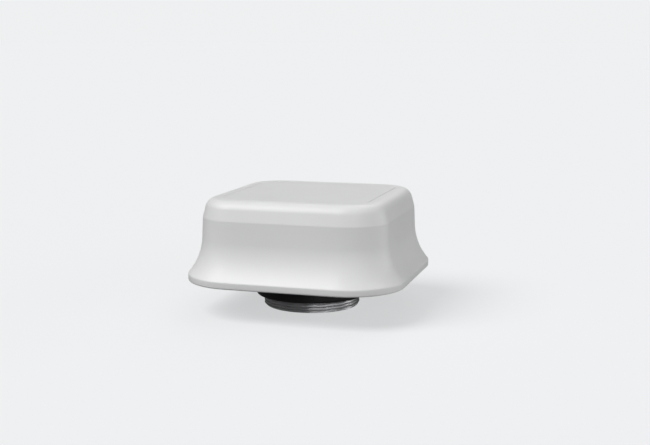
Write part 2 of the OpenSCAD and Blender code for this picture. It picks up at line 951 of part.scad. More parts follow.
radome_cover();
top_inlay();
base_plate();
perimeter_seal();
cover_screws();
threaded_neck();
neck_seal();
neck_screws();
panel_gasket();
thrust_washer();
lock_nut();
connector_plate();
plate_seal();
plate_screws();
vent_body();
vent_seal();
connector_shell();
connector_insert();
connector_pins();
connector_seal();
connector_nut();
main_board();
board_standoffs();
board_spacers();
receiver_module();
processor_chip();
memory_chip();
power_inductor();
filter_capacitors();
backup_battery();
coax_sockets();
coax_bullet();
antenna_board();
ground_plane();
lower_patch();
lower_electrode();
upper_patch();
upper_electrode();
feed_pins();
amplifier_shield();
amplifier_chips();
antenna_screws();
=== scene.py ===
import math

import bmesh
import bpy
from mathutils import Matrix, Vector


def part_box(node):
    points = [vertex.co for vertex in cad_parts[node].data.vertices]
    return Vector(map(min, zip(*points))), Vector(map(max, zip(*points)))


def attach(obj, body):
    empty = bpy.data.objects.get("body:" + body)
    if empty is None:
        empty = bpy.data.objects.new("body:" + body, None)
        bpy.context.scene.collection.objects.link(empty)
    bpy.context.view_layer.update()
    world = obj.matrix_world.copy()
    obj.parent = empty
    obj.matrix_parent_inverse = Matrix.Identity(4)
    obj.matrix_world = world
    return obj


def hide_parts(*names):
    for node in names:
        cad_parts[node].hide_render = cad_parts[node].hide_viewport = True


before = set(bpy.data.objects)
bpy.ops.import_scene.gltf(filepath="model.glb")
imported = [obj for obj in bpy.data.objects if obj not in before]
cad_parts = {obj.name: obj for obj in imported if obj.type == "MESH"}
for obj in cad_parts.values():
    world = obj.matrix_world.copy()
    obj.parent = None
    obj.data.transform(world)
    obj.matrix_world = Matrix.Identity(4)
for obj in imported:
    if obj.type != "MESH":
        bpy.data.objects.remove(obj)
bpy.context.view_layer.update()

# ---- Threaded neck ----
# A hollow aluminium stud turned in one piece, with an M50 x 1.5 thread outside, an inner flange that
# is screwed to the base plate, and a ledge inside for the connector plate. It is left bare.
mm = 0.001
neck_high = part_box("threaded_neck")[1]
base_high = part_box("base_plate")[1]
neck_r = 25 * mm
neck_bore = 21.5 * mm
neck_ledge = 16.5 * mm
neck_flange = neck_high.x
neck_mouth = 0.6 * mm
neck_edge = 0.3 * mm
neck_thread_pitch = 1.5 * mm
neck_thread_depth = 0.92 * mm
neck_thread_top = 15 * mm
plate_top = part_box("connector_plate")[1].z
seal_in, seal_out = 25.5 * mm, 26.9 * mm
seal_depth = 1.2 * mm
neck_around = 192


def add_input(tree, name, kind, value=None):
    """A named input on a node tree."""
    socket = tree.interface.new_socket(name, in_out="INPUT", socket_type="NodeSocket" + kind)
    if value is not None:
        socket.default_value = value


def set_inputs(modifier, values):
    """Sets a modifier's inputs by their sockets' identifiers."""
    for socket in modifier.node_group.interface.items_tree:
        if socket.item_type == "SOCKET" and socket.in_out == "INPUT" and socket.name in values:
            modifier[socket.identifier] = values[socket.name]


def end_tree(tree, geometry, source):
    """Ends a tree in Realize Instances and Set Material."""
    real = tree.nodes.new("GeometryNodeRealizeInstances")
    coat = tree.nodes.new("GeometryNodeSetMaterial")
    out = tree.nodes.new("NodeGroupOutput")
    tree.links.new(geometry, real.inputs[0])
    tree.links.new(real.outputs[0], coat.inputs["Geometry"])
    tree.links.new(source.outputs["Finish"], coat.inputs["Material"])
    tree.links.new(coat.outputs[0], out.inputs[0])


def thread_tree():
    """A node tree for a right-handed screw thread: a grid wrapped round Z, pressed in along a helix.

    Depth is taken off Radius at the thread's root. A negative depth gives a nut's inner thread.
    """
    tree = bpy.data.node_groups.new("screw_thread", "GeometryNodeTree")
    for name, kind, value in (
        ("Radius", "Float", 0.025), ("Depth", "Float", 0.001), ("Pitch", "Float", 0.0015),
        ("Length", "Float", 0.01), ("Base", "Float", 0.0), ("Lead In", "Float", 0.001),
        ("Around", "Int", 96), ("Rows", "Int", 96), ("Finish", "Material", None),
    ):
        add_input(tree, name, kind, value)
    tree.interface.new_socket("Thread", in_out="OUTPUT", socket_type="NodeSocketGeometry")
    source = tree.nodes.new("NodeGroupInput")
    size = source.outputs

    def sum_of(operation, first, second=0.0, clamp=False):
        node = tree.nodes.new("ShaderNodeMath")
        node.operation = operation
        node.use_clamp = clamp
        for socket, value in zip(node.inputs, (first, second)):
            if isinstance(value, (int, float)):
                socket.default_value = value
            else:
                tree.links.new(value, socket)
        return node.outputs[0]

    grid = tree.nodes.new("GeometryNodeMeshGrid")
    grid.inputs["Size X"].default_value = 1
    grid.inputs["Size Y"].default_value = 1
    tree.links.new(sum_of("ADD", size["Around"], 1), grid.inputs["Vertices X"])
    tree.links.new(sum_of("ADD", size["Rows"], 1), grid.inputs["Vertices Y"])
    place = tree.nodes.new("ShaderNodeSeparateXYZ")
    tree.links.new(tree.nodes.new("GeometryNodeInputPosition").outputs[0], place.inputs[0])
    turn = sum_of("ADD", place.outputs["X"], 0.5)
    height = sum_of("MULTIPLY", sum_of("ADD", place.outputs["Y"], 0.5), size["Length"])
    # The flank's place in its pitch follows the helix; both ends are cut back to the root
    crest_flat, root_flat = 0.125, 0.175
    phase = sum_of("FRACT", sum_of("SUBTRACT", sum_of("DIVIDE", height, size["Pitch"]), turn))
    wave = sum_of("ABSOLUTE", sum_of("SUBTRACT", sum_of("MULTIPLY", phase, 2), 1))
    flank = sum_of(
        "DIVIDE", sum_of("SUBTRACT", 1 - crest_flat, wave), 1 - crest_flat - root_flat, clamp=True
    )
    low_end = sum_of("SUBTRACT", 1, sum_of("DIVIDE", height, size["Lead In"]))
    high_end = sum_of(
        "SUBTRACT", 1, sum_of("DIVIDE", sum_of("SUBTRACT", size["Length"], height), size["Lead In"])
    )
    cut = sum_of("MAXIMUM", flank, sum_of("MAXIMUM", low_end, high_end))
    radius = sum_of("SUBTRACT", size["Radius"], sum_of("MULTIPLY", size["Depth"], cut))
    angle = sum_of("MULTIPLY", turn, math.tau)
    moved = tree.nodes.new("ShaderNodeCombineXYZ")
    tree.links.new(sum_of("MULTIPLY", radius, sum_of("COSINE", angle)), moved.inputs["X"])
    tree.links.new(sum_of("MULTIPLY", radius, sum_of("SINE", angle)), moved.inputs["Y"])
    tree.links.new(sum_of("ADD", size["Base"], height), moved.inputs["Z"])
    wrap = tree.nodes.new("GeometryNodeSetPosition")
    tree.links.new(grid.outputs["Mesh"], wrap.inputs["Geometry"])
    tree.links.new(moved.outputs[0], wrap.inputs["Position"])
    end_tree(tree, wrap.outputs[0], source)
    return tree


screw_thread = thread_tree()


def new_object(name, data):
    """An object at the origin, in the scene."""
    obj = bpy.data.objects.new(name, data)
    bpy.context.scene.collection.objects.link(obj)
    return obj


def made_by(tree, inputs, name, carrier=None):
    """The plain mesh that a node tree makes from its inputs; the carrier and its modifier are removed."""
    obj = new_object(name + "_maker", carrier or bpy.data.meshes.new(name + "_maker"))
    modifier = obj.modifiers.new("maker", "NODES")
    modifier.node_group = tree
    set_inputs(modifier, inputs)
    bpy.context.view_layer.update()
    seen = obj.evaluated_get(bpy.context.evaluated_depsgraph_get())
    mesh = bpy.data.meshes.new_from_object(seen)
    mesh.name = name
    bpy.data.objects.remove(obj)
    return mesh


def lathe(mesh, profile, around, closed=True, centre=(0, 0)):
    """Adds a turned shape to a bmesh: the profile is a list of (radius, height)."""
    rings = []
    for radius, height in profile:
        ring = []
        for i in range(around):
            angle = math.tau * i / around
            place = (centre[0] + radius * math.cos(angle), centre[1] + radius * math.sin(angle), height)
            ring.append(mesh.verts.new(place))
        rings.append(ring)
    pairs = list(zip(rings, rings[1:]))
    if closed:
        pairs.append((rings[-1], rings[0]))
    for low, high in pairs:
        for i in range(around):
            j = (i + 1) % around
            mesh.faces.new((low[i], low[j], high[j], high[i]))


def close_up(mesh, data, crease=35):
    """Merges doubles, fills holes, turns faces outward and shades them smooth up to the crease angle."""
    bmesh.ops.remove_doubles(mesh, verts=mesh.verts, dist=2e-7)
    open_edges = [edge for edge in mesh.edges if edge.is_boundary]
    if open_edges:
        bmesh.ops.holes_fill(mesh, edges=open_edges)
    bmesh.ops.recalc_face_normals(mesh, faces=mesh.faces)
    for face in mesh.faces:
        face.smooth = True
    for edge in mesh.edges:
        edge.smooth = edge.calc_face_angle(0) < math.radians(crease)
    mesh.to_mesh(data)
    mesh.free()


def closed_object(name, mesh):
    """An object made from a bmesh that is closed up."""
    data = bpy.data.meshes.new(name)
    close_up(mesh, data)
    return new_object(name, data)


def softened(points, radius, steps=3):
    """A closed profile with each corner rounded, as a list of (radius, height)."""
    rounded = []
    for i, point in enumerate(points):
        here = Vector(point)
        before = Vector(points[i - 1]) - here
        after = Vector(points[(i + 1) % len(points)]) - here
        reach = min(radius, before.length / 2.5, after.length / 2.5)
        start = here + before.normalized() * reach
        end = here + after.normalized() * reach
        for k in range(steps + 1):
            t = k / steps
            rounded.append(tuple((1 - t) ** 2 * start + 2 * t * (1 - t) * here + t * t * end))
    return rounded


def finish_piece(piece, material, body, slot, *nodes):
    """Gives a piece its material and body, and hides the CAD nodes that it stands for. The slot is not
    used.
    """
    if material is not None:
        piece.data.materials.clear()
        piece.data.materials.append(material)
    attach(piece, body)
    if nodes:
        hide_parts(*nodes)


def new_finish(name, colour, roughness, metallic=0.0, specular=0.5):
    """A material with one Principled shader; returns the material, its tree and that shader."""
    material = bpy.data.materials.new(name)
    material.use_nodes = True
    tree = material.node_tree
    shader = tree.nodes["Principled BSDF"]
    shader.inputs["Base Color"].default_value = (*colour, 1)
    shader.inputs["Roughness"].default_value = roughness
    shader.inputs["Metallic"].default_value = metallic
    shader.inputs["Specular IOR Level"].default_value = specular
    return material, tree, shader


def noise(tree, size, detail=3.0, stretch=(1, 1, 1)):
    """Noise on object coordinates whose lumps are about the given size; stretch squeezes them."""
    place = tree.nodes.new("ShaderNodeTexCoord")
    mapping = tree.nodes.new("ShaderNodeMapping")
    mapping.inputs["Scale"].default_value = stretch
    lumps = tree.nodes.new("ShaderNodeTexNoise")
    lumps.inputs["Scale"].default_value = 1 / size
    lumps.inputs["Detail"].default_value = detail
    tree.links.new(place.outputs["Object"], mapping.inputs["Vector"])
    tree.links.new(mapping.outputs["Vector"], lumps.inputs["Vector"])
    return lumps.outputs["Fac"]


def tool_marks(tree, size, centre=(0, 0)):
    """Fine rings about a vertical axis, as a lathe tool leaves: noise on radius and height alone."""
    place = tree.nodes.new("ShaderNodeTexCoord")
    mapping = tree.nodes.new("ShaderNodeMapping")
    mapping.inputs["Location"].default_value = (-centre[0], -centre[1], 0)
    split = tree.nodes.new("ShaderNodeSeparateXYZ")
    flat = tree.nodes.new("ShaderNodeCombineXYZ")
    length = tree.nodes.new("ShaderNodeVectorMath")
    length.operation = "LENGTH"
    rings = tree.nodes.new("ShaderNodeCombineXYZ")
    lumps = tree.nodes.new("ShaderNodeTexNoise")
    lumps.inputs["Scale"].default_value = 1 / size
    lumps.inputs["Detail"].default_value = 2
    link = tree.links.new
    link(place.outputs["Object"], mapping.inputs["Vector"])
    link(mapping.outputs["Vector"], split.inputs[0])
    link(split.outputs["X"], flat.inputs["X"])
    link(split.outputs["Y"], flat.inputs["Y"])
    link(flat.outputs[0], length.inputs[0])
    link(length.outputs["Value"], rings.inputs["X"])
    link(split.outputs["Z"], rings.inputs["Z"])
    link(rings.outputs[0], lumps.inputs["Vector"])
    return lumps.outputs["Fac"]


def spread(tree, value, low, high):
    """Maps the middle of a 0 to 1 pattern onto a range."""
    ramp = tree.nodes.new("ShaderNodeMapRange")
    ramp.inputs["From Min"].default_value = 0.3
    ramp.inputs["From Max"].default_value = 0.7
    ramp.inputs["To Min"].default_value = low
    ramp.inputs["To Max"].default_value = high
    tree.links.new(value, ramp.inputs["Value"])
    return ramp.outputs["Result"]


def tint(tree, shader, value, dark, light):
    """Colours a shader between two tones by a pattern."""
    mix = tree.nodes.new("ShaderNodeMix")
    mix.data_type = "RGBA"
    mix.inputs["A"].default_value = (*dark, 1)
    mix.inputs["B"].default_value = (*light, 1)
    tree.links.new(spread(tree, value, 0, 1), mix.inputs["Factor"])
    tree.links.new(mix.outputs["Result"], shader.inputs["Base Color"])


def gloss(tree, shader, value, low, high):
    """Varies a shader's roughness by a pattern."""
    tree.links.new(spread(tree, value, low, high), shader.inputs["Roughness"])


def relief(tree, shader, value, depth, strength=1.0):
    """Bumps a shader by a pattern whose full height is the depth in metres."""
    bump = tree.nodes.new("ShaderNodeBump")
    bump.inputs["Distance"].default_value = depth
    bump.inputs["Strength"].default_value = strength
    tree.links.new(value, bump.inputs["Height"])
    tree.links.new(bump.outputs["Normal"], shader.inputs["Normal"])


def turned_aluminium():
    """Bare turned aluminium: tool rings, a slightly uneven oxide and small handling marks."""
    material, tree, shader = new_finish("turned_aluminium", (0.6, 0.6, 0.61), 0.32, 1.0)
    tint(tree, shader, noise(tree, 5 * mm, 4), (0.56, 0.56, 0.57), (0.65, 0.65, 0.66))
    gloss(tree, shader, noise(tree, 1.5 * mm, 5), 0.26, 0.4)
    relief(tree, shader, tool_marks(tree, 0.12 * mm), 0.012 * mm, 0.5)
    return material


neck = bmesh.new()
neck.from_mesh(made_by(screw_thread, {
    "Radius": neck_r, "Depth": neck_thread_depth, "Pitch": neck_thread_pitch,
    "Length": neck_thread_top, "Base": 0.0, "Lead In": neck_thread_depth,
    "Around": neck_around, "Rows": 160,
}, "neck_thread"))
neck_root = neck_r - neck_thread_depth
flange_low, flange_high = base_high.z, neck_high.z
lathe(neck, [
    (neck_root, 0), (neck_bore + neck_mouth, 0), (neck_bore, neck_mouth),
    (neck_bore, plate_top - neck_edge), (neck_bore - neck_edge, plate_top),
    (neck_ledge + neck_edge, plate_top), (neck_ledge, plate_top + neck_edge),
    (neck_ledge, flange_high - neck_edge), (neck_ledge + neck_edge, flange_high),
    (neck_flange - neck_edge, flange_high), (neck_flange, flange_high - neck_edge),
    (neck_flange, flange_low + neck_edge), (neck_flange - neck_edge, flange_low),
    (seal_out, flange_low), (seal_out, flange_low + seal_depth),
    (seal_in, flange_low + seal_depth), (seal_in, flange_low),
    (neck_root, flange_low), (neck_root, neck_thread_top),
], neck_around, closed=False)
finish_piece(closed_object("neck_stud", neck), turned_aluminium(),
             "housing", "neck_aluminium", "threaded_neck")

# ---- Base plate ----
# A flat plate moulded in black glass-filled plastic, with a round hole for the neck, a groove for the
# seal and four counterbores. It closes the cover from below, 0.3 mm inside the rim.


def black_moulding(name, colour=0.03, grain=0.25, roughness=0.5, specular=0.5):
    """Black moulded plastic with a fine eroded grain and faint paler flow marks."""
    material, tree, shader = new_finish(name, (colour, colour, colour), roughness, 0.0, specular)
    dark, light = (colour * 0.85,) * 3, (colour * 1.2,) * 3
    tint(tree, shader, noise(tree, 14 * mm, 3), dark, light)
    gloss(tree, shader, noise(tree, 1.8 * mm, 4), roughness - 0.06, roughness + 0.08)
    relief(tree, shader, noise(tree, grain * mm, 4), 0.03 * mm, 0.5)
    return material


def edged_copy(node, name, width, steps=2, crease=25):
    """A copy of a CAD node with its doubles merged, its flats joined and its edges rounded."""
    mesh = bmesh.new()
    mesh.from_mesh(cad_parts[node].data)
    bmesh.ops.remove_doubles(mesh, verts=mesh.verts, dist=1e-6)
    bmesh.ops.dissolve_limit(mesh, angle_limit=math.radians(1), verts=mesh.verts, edges=mesh.edges)
    data = bpy.data.meshes.new(name)
    mesh.to_mesh(data)
    mesh.free()
    obj = new_object(name + "_maker", data)
    bevel = obj.modifiers.new("edges", "BEVEL")
    bevel.width = width
    bevel.segments = steps
    bevel.limit_method = "ANGLE"
    bevel.angle_limit = math.radians(crease)
    bevel.harden_normals = False
    bpy.context.view_layer.update()
    made = bpy.data.meshes.new_from_object(obj.evaluated_get(bpy.context.evaluated_depsgraph_get()))
    bpy.data.objects.remove(obj)
    mesh = bmesh.new()
    mesh.from_mesh(made)
    close_up(mesh, made, 50)
    return new_object(name, made)


finish_piece(edged_copy("base_plate", "bottom_plate", 0.25 * mm),
             black_moulding("base_moulding", 0.032, 0.3, 0.55),
             "housing", "black_plastic", "base_plate")

# ---- Seals and gasket ----
# Solid rubber cords lie in their grooves, and a flat closed-cell gasket with one raised ring is laid
# under the base plate, where it is squeezed against the panel.


def moulded_rubber(name, colour, grain):
    """Matt black rubber with a dusty bloom and a fine sponge-like skin."""
    material, tree, shader = new_finish(name, (colour, colour, colour), 0.8, specular=0.3)
    tint(tree, shader, noise(tree, 6 * mm, 5), (colour * 0.8,) * 3, (colour * 1.35,) * 3)
    gloss(tree, shader, noise(tree, 2.5 * mm, 3), 0.7, 0.92)
    relief(tree, shader, noise(tree, grain * mm, 5), 0.05 * mm, 0.6)
    return material


def clad(node, material):
    """Gives a CAD node that stays its finish."""
    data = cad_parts[node].data
    data.materials.clear()
    data.materials.append(material)


seal_skin = moulded_rubber("seal_rubber_skin", 0.03, 0.2)
for seal in ("perimeter_seal", "neck_seal", "plate_seal", "vent_seal", "connector_seal"):
    clad(seal, seal_skin)

gasket_low, gasket_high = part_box("panel_gasket")
gasket_in = neck_r + 0.3 * mm
gasket_edge = 0.3 * mm
bead_h = 0.4 * mm
gasket_face = gasket_low.z + bead_h
bead_in, bead_out = 33 * mm, 37 * mm
gasket = bmesh.new()
lathe(gasket, softened([
    (gasket_in, gasket_face), (bead_in, gasket_face), (bead_in + bead_h, gasket_low.z),
    (bead_out - bead_h, gasket_low.z), (bead_out, gasket_face), (gasket_high.x, gasket_face),
    (gasket_high.x, gasket_high.z), (gasket_in, gasket_high.z),
], gasket_edge), 128)
finish_piece(closed_object("flat_gasket", gasket), moulded_rubber("gasket_foam_skin", 0.045, 0.5),
             "housing", "gasket_rubber", "panel_gasket")

# ---- Screws ----
# Stainless screws with a hexagon socket in a domed head, all of one pattern: four hold the cover, six
# hold the neck's flange and four hold the connector plate. Each set lies on a circle.


def circle_tree():
    """A node tree that sets copies of an object evenly round a circle about Z, each turned to a seed."""
    tree = bpy.data.node_groups.new("set_on_circle", "GeometryNodeTree")
    for name, kind, value in (
        ("Item", "Object", None), ("Count", "Int", 4), ("Circle Radius", "Float", 0.02),
        ("Start Angle", "Float", 0.0), ("Height", "Float", 0.0), ("Seed", "Int", 1),
        ("Finish", "Material", None),
    ):
        add_input(tree, name, kind, value)
    tree.interface.new_socket("Set", in_out="OUTPUT", socket_type="NodeSocketGeometry")
    source = tree.nodes.new("NodeGroupInput")
    link = tree.links.new
    circle = tree.nodes.new("GeometryNodeMeshCircle")
    link(source.outputs["Count"], circle.inputs["Vertices"])
    link(source.outputs["Circle Radius"], circle.inputs["Radius"])
    place = tree.nodes.new("GeometryNodeTransform")
    lift = tree.nodes.new("ShaderNodeCombineXYZ")
    spin = tree.nodes.new("ShaderNodeCombineXYZ")
    link(source.outputs["Height"], lift.inputs["Z"])
    link(source.outputs["Start Angle"], spin.inputs["Z"])
    link(circle.outputs[0], place.inputs["Geometry"])
    link(lift.outputs[0], place.inputs["Translation"])
    link(spin.outputs[0], place.inputs["Rotation"])
    item = tree.nodes.new("GeometryNodeObjectInfo")
    link(source.outputs["Item"], item.inputs["Object"])
    twist = tree.nodes.new("FunctionNodeRandomValue")
    twist.data_type = "FLOAT"
    link(source.outputs["Seed"], twist.inputs["Seed"])
    angle = tree.nodes.new("ShaderNodeMath")
    angle.operation = "MULTIPLY"
    angle.inputs[1].default_value = math.tau
    link(twist.outputs[1], angle.inputs[0])
    turn = tree.nodes.new("ShaderNodeCombineXYZ")
    link(angle.outputs[0], turn.inputs["Z"])
    copies = tree.nodes.new("GeometryNodeInstanceOnPoints")
    link(place.outputs[0], copies.inputs["Points"])
    link(item.outputs["Geometry"], copies.inputs["Instance"])
    link(turn.outputs[0], copies.inputs["Rotation"])
    end_tree(tree, copies.outputs[0], source)
    return tree


set_on_circle = circle_tree()


def socket_screw(name, shank_r, head_r, head_h, shank_len, point):
    """One screw at its head's seat; point is 1 where the shank runs down, -1 where it runs up."""
    around = 36
    head_edge = 0.1 * mm
    dome_foot = 0.55
    socket_half = head_r * 0.5
    socket_floor = head_h * 0.42
    dome = [(head_r * math.cos(a), head_h * (dome_foot + (1 - dome_foot) * math.sin(a)))
            for a in (math.pi / 2 * i / 6 for i in range(5))]
    mesh = bmesh.new()
    profile = [(0.03 * mm, -shank_len), (shank_r * 0.75, -shank_len), (shank_r, -shank_len + shank_r * 0.5),
               (shank_r, 0), (head_r - head_edge, 0), (head_r, head_edge)] + dome
    lathe(mesh, [(r, point * z) for r, z in profile], around, closed=False)
    # The dome's inner edge steps to a hexagon, which goes down to the socket's floor
    top = max(abs(v.co.z) for v in mesh.verts if v.co.z * point > 0)
    sixth = math.pi / 3
    rings = [list(mesh.verts)[-around:]]
    for level in (top, socket_floor):
        ring = []
        for i in range(around):
            angle = math.tau * i / around
            reach = socket_half / math.cos((angle + sixth / 2) % sixth - sixth / 2)
            ring.append(mesh.verts.new((reach * math.cos(angle), reach * math.sin(angle), point * level)))
        rings.append(ring)
    for low, high in zip(rings, rings[1:]):
        for i in range(around):
            j = (i + 1) % around
            mesh.faces.new((low[i], low[j], high[j], high[i]))
    mesh.faces.new(rings[-1])
    return closed_object(name, mesh)


def screw_steel():
    """Passivated stainless steel: a fine grain, a faint straw tone and small scuffs."""
    material, tree, shader = new_finish("screw_steel", (0.58, 0.57, 0.55), 0.3, 1.0)
    tint(tree, shader, noise(tree, 1.2 * mm, 5), (0.5, 0.49, 0.47), (0.64, 0.63, 0.61))
    gloss(tree, shader, noise(tree, 0.6 * mm, 4), 0.22, 0.4)
    relief(tree, shader, noise(tree, 0.1 * mm, 3), 0.008 * mm, 0.4)
    return material


screw_finish = screw_steel()


def screw_set(name, node, screw, count, circle, start, height, seed):
    """A set of screws on a circle, standing for a CAD node."""
    made = made_by(set_on_circle, {
        "Item": screw, "Count": count, "Circle Radius": circle, "Start Angle": math.radians(start),
        "Height": height, "Seed": seed, "Finish": screw_finish,
    }, name)
    bpy.data.objects.remove(screw)
    finish_piece(new_object(name, made), screw_finish, "housing", "steel_screw", node)


boss_spot = 37.5 * mm
cover_head_h = 1.5 * mm
cover_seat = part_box("cover_screws")[0].z + cover_head_h
cover_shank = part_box("cover_screws")[1].z - cover_seat
screw_set("cover_screw_set", "cover_screws",
          socket_screw("cover_screw", 1.5 * mm, 2.9 * mm, cover_head_h, cover_shank, -1),
          4, boss_spot * math.sqrt(2), 45, cover_seat, 3)
neck_shank = flange_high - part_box("neck_screws")[0].z
screw_set("neck_screw_set", "neck_screws",
          socket_screw("neck_screw", 1.25 * mm, 2.4 * mm, 1.6 * mm, neck_shank, 1),
          6, 28.3 * mm, 30, flange_high, 5)
plate_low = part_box("connector_plate")[0].z
plate_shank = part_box("plate_screws")[1].z - plate_low
screw_set("plate_screw_set", "plate_screws",
          socket_screw("plate_screw", 1.0 * mm, 1.8 * mm, 1.2 * mm, plate_shank, -1),
          4, 19.2 * mm, 45, plate_low, 8)

# ---- Connector plate and vent ----
# A blasted aluminium disc closes the neck and carries the connector. A small moulded vent with a
# membrane behind six holes lets the housing breathe.


def blasted_aluminium():
    """Bead-blasted aluminium: an even, sparkling, fairly rough grey."""
    material, tree, shader = new_finish("blasted_aluminium", (0.55, 0.55, 0.56), 0.5, 1.0)
    tint(tree, shader, noise(tree, 8 * mm, 3), (0.5, 0.5, 0.51), (0.58, 0.58, 0.59))
    gloss(tree, shader, noise(tree, 0.5 * mm, 4), 0.42, 0.58)
    relief(tree, shader, noise(tree, 0.12 * mm, 3), 0.015 * mm, 0.7)
    return material


finish_piece(edged_copy("connector_plate", "neck_closing_plate", 0.2 * mm), blasted_aluminium(),
             "housing", "plate_aluminium", "connector_plate")
finish_piece(edged_copy("vent_body", "vent_cap", 0.18 * mm),
             black_moulding("vent_moulding", 0.025, 0.2, 0.42),
             "housing", "vent_plastic", "vent_body")

# ---- Connector ----
# A round panel connector with an M12 x 1 coupling thread, in nickel-plated brass. A black insert
# carries eight gold-plated contacts, and one rib inside the shell keys the plug.


def nickel_plate():
    """Bright nickel on turned brass, with a warm cast and soft tool rings."""
    material, tree, shader = new_finish("nickel_plate", (0.62, 0.59, 0.53), 0.24, 1.0)
    tint(tree, shader, noise(tree, 2 * mm, 4), (0.55, 0.52, 0.46), (0.67, 0.64, 0.58))
    gloss(tree, shader, noise(tree, 0.8 * mm, 4), 0.18, 0.32)
    relief(tree, shader, tool_marks(tree, 0.2 * mm), 0.002 * mm, 0.3)
    return material


nickel = nickel_plate()
shell_low, shell_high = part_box("connector_shell")
shell_r, shell_cavity, shell_stem = 6 * mm, 4.7 * mm, 5.8 * mm
shell_thread_depth = 0.6 * mm
shell_root = shell_r - shell_thread_depth
shell_flange = shell_high.x
shell_edge = 0.2 * mm
flange_z = 12 * mm
flange_t = 2 * mm
flange_chamfer = 0.3 * mm
insert_r, insert_step = 4.45 * mm, 1 * mm
rib_w, rib_len = 0.8 * mm, 6 * mm
rib_centre = (0, shell_cavity - 0.2 * mm, shell_low.z + 4 * mm)
shell = bmesh.new()
shell.from_mesh(made_by(screw_thread, {
    "Radius": shell_r, "Depth": shell_thread_depth, "Pitch": 1 * mm,
    "Length": flange_z - shell_low.z, "Base": shell_low.z, "Lead In": shell_thread_depth,
    "Around": 72, "Rows": 112,
}, "shell_thread"))
lathe(shell, [
    (shell_root, shell_low.z), (shell_cavity + shell_edge, shell_low.z),
    (shell_cavity, shell_low.z + shell_edge), (shell_cavity, flange_z - insert_step),
    (insert_r, flange_z - insert_step), (insert_r, shell_high.z),
    (shell_stem, shell_high.z), (shell_stem, flange_z + flange_t),
    (shell_flange - shell_edge, flange_z + flange_t), (shell_flange, flange_z + flange_t - shell_edge),
    (shell_flange, flange_z + flange_chamfer), (shell_flange - flange_chamfer, flange_z),
    (shell_root, flange_z),
], 72, closed=False)
shell_object = closed_object("coupling_shell", shell)
ribbed = bmesh.new()
ribbed.from_mesh(shell_object.data)
rib = bmesh.ops.create_cube(ribbed, size=1)["verts"]
bmesh.ops.scale(ribbed, verts=rib, vec=(rib_w, rib_w, rib_len))
bmesh.ops.translate(ribbed, verts=rib, vec=rib_centre)
ribbed.to_mesh(shell_object.data)
ribbed.free()
finish_piece(shell_object, nickel, "housing", "connector_nickel", "connector_shell")

finish_piece(edged_copy("connector_insert", "contact_insert", 0.08 * mm),
             black_moulding("insert_moulding", 0.022, 0.15, 0.4),
             "housing", "insert_plastic", "connector_insert")


def gold_plate():
    """Thin gold over nickel, warm and slightly uneven."""
    material, tree, shader = new_finish("gold_plate", (0.83, 0.62, 0.27), 0.22, 1.0)
    tint(tree, shader, noise(tree, 0.8 * mm, 4), (0.76, 0.55, 0.22), (0.88, 0.68, 0.33))
    gloss(tree, shader, noise(tree, 0.4 * mm, 3), 0.16, 0.3)
    relief(tree, shader, noise(tree, 0.08 * mm, 2), 0.004 * mm, 0.4)
    return material


gold = gold_plate()
pins_low, pins_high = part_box("connector_pins")
contact_len = pins_high.z - pins_low.z
contact_r = 0.4 * mm
axis_gap = 0.02 * mm
contact = bmesh.new()
lathe(contact, [
    (axis_gap, 0), (0.18 * mm, 0.03 * mm), (0.34 * mm, 0.35 * mm), (contact_r, 0.7 * mm),
    (contact_r, contact_len), (axis_gap, contact_len),
], 20, closed=False)
contact_item = closed_object("contact", contact)
contacts = made_by(set_on_circle, {
    "Item": contact_item, "Count": 8, "Circle Radius": 2.75 * mm, "Start Angle": math.radians(22.5),
    "Height": pins_low.z, "Seed": 2, "Finish": gold,
}, "contact_set")
bpy.data.objects.remove(contact_item)
finish_piece(new_object("contact_set", contacts), gold, "housing", "contact_gold", "connector_pins")
clad("connector_nut", nickel)

# ---- Electronics ----
# Two green laminate boards are carried on brass hexagons. The lower one holds the receiver, processor
# and supply parts, and the upper one the amplifier and the stacked ceramic antenna.


def solder_mask():
    """Green solder mask over copper tracks: a glossy coat with a faint woven ground."""
    material, tree, shader = new_finish("solder_mask", (0.02, 0.13, 0.05), 0.3)
    tracks = tree.nodes.new("ShaderNodeTexBrick")
    tracks.inputs["Scale"].default_value = 1 / (4.0 * mm)
    tracks.inputs["Mortar Size"].default_value = 0.04
    tracks.inputs["Color1"].default_value = (0.012, 0.1, 0.035, 1)
    tracks.inputs["Color2"].default_value = (0.018, 0.12, 0.045, 1)
    tracks.inputs["Mortar"].default_value = (0.035, 0.2, 0.08, 1)
    place = tree.nodes.new("ShaderNodeTexCoord")
    tree.links.new(place.outputs["Object"], tracks.inputs["Vector"])
    tree.links.new(tracks.outputs["Color"], shader.inputs["Base Color"])
    gloss(tree, shader, noise(tree, 3 * mm, 3), 0.22, 0.38)
    relief(tree, shader, tracks.outputs["Fac"], 0.03 * mm, 0.6)
    return material


def tinned_sheet():
    """Tin-plated sheet: cloudy crystals and fine rolling lines."""
    material, tree, shader = new_finish("tinned_sheet", (0.62, 0.62, 0.6), 0.35, 1.0)
    tint(tree, shader, noise(tree, 2.2 * mm, 2), (0.55, 0.55, 0.54), (0.7, 0.7, 0.68))
    gloss(tree, shader, noise(tree, 1.1 * mm, 4), 0.25, 0.45)
    relief(tree, shader, noise(tree, 0.3 * mm, 2, (1, 12, 1)), 0.008 * mm, 0.5)
    return material


def chip_resin():
    """Moulded epoxy: very dark, with a sandy skin."""
    material, tree, shader = new_finish("epoxy_moulding", (0.028, 0.028, 0.03), 0.6)
    tint(tree, shader, noise(tree, 0.25 * mm, 4), (0.02, 0.02, 0.022), (0.045, 0.045, 0.048))
    gloss(tree, shader, noise(tree, 1 * mm, 3), 0.52, 0.7)
    relief(tree, shader, noise(tree, 0.12 * mm, 3), 0.02 * mm, 0.6)
    return material


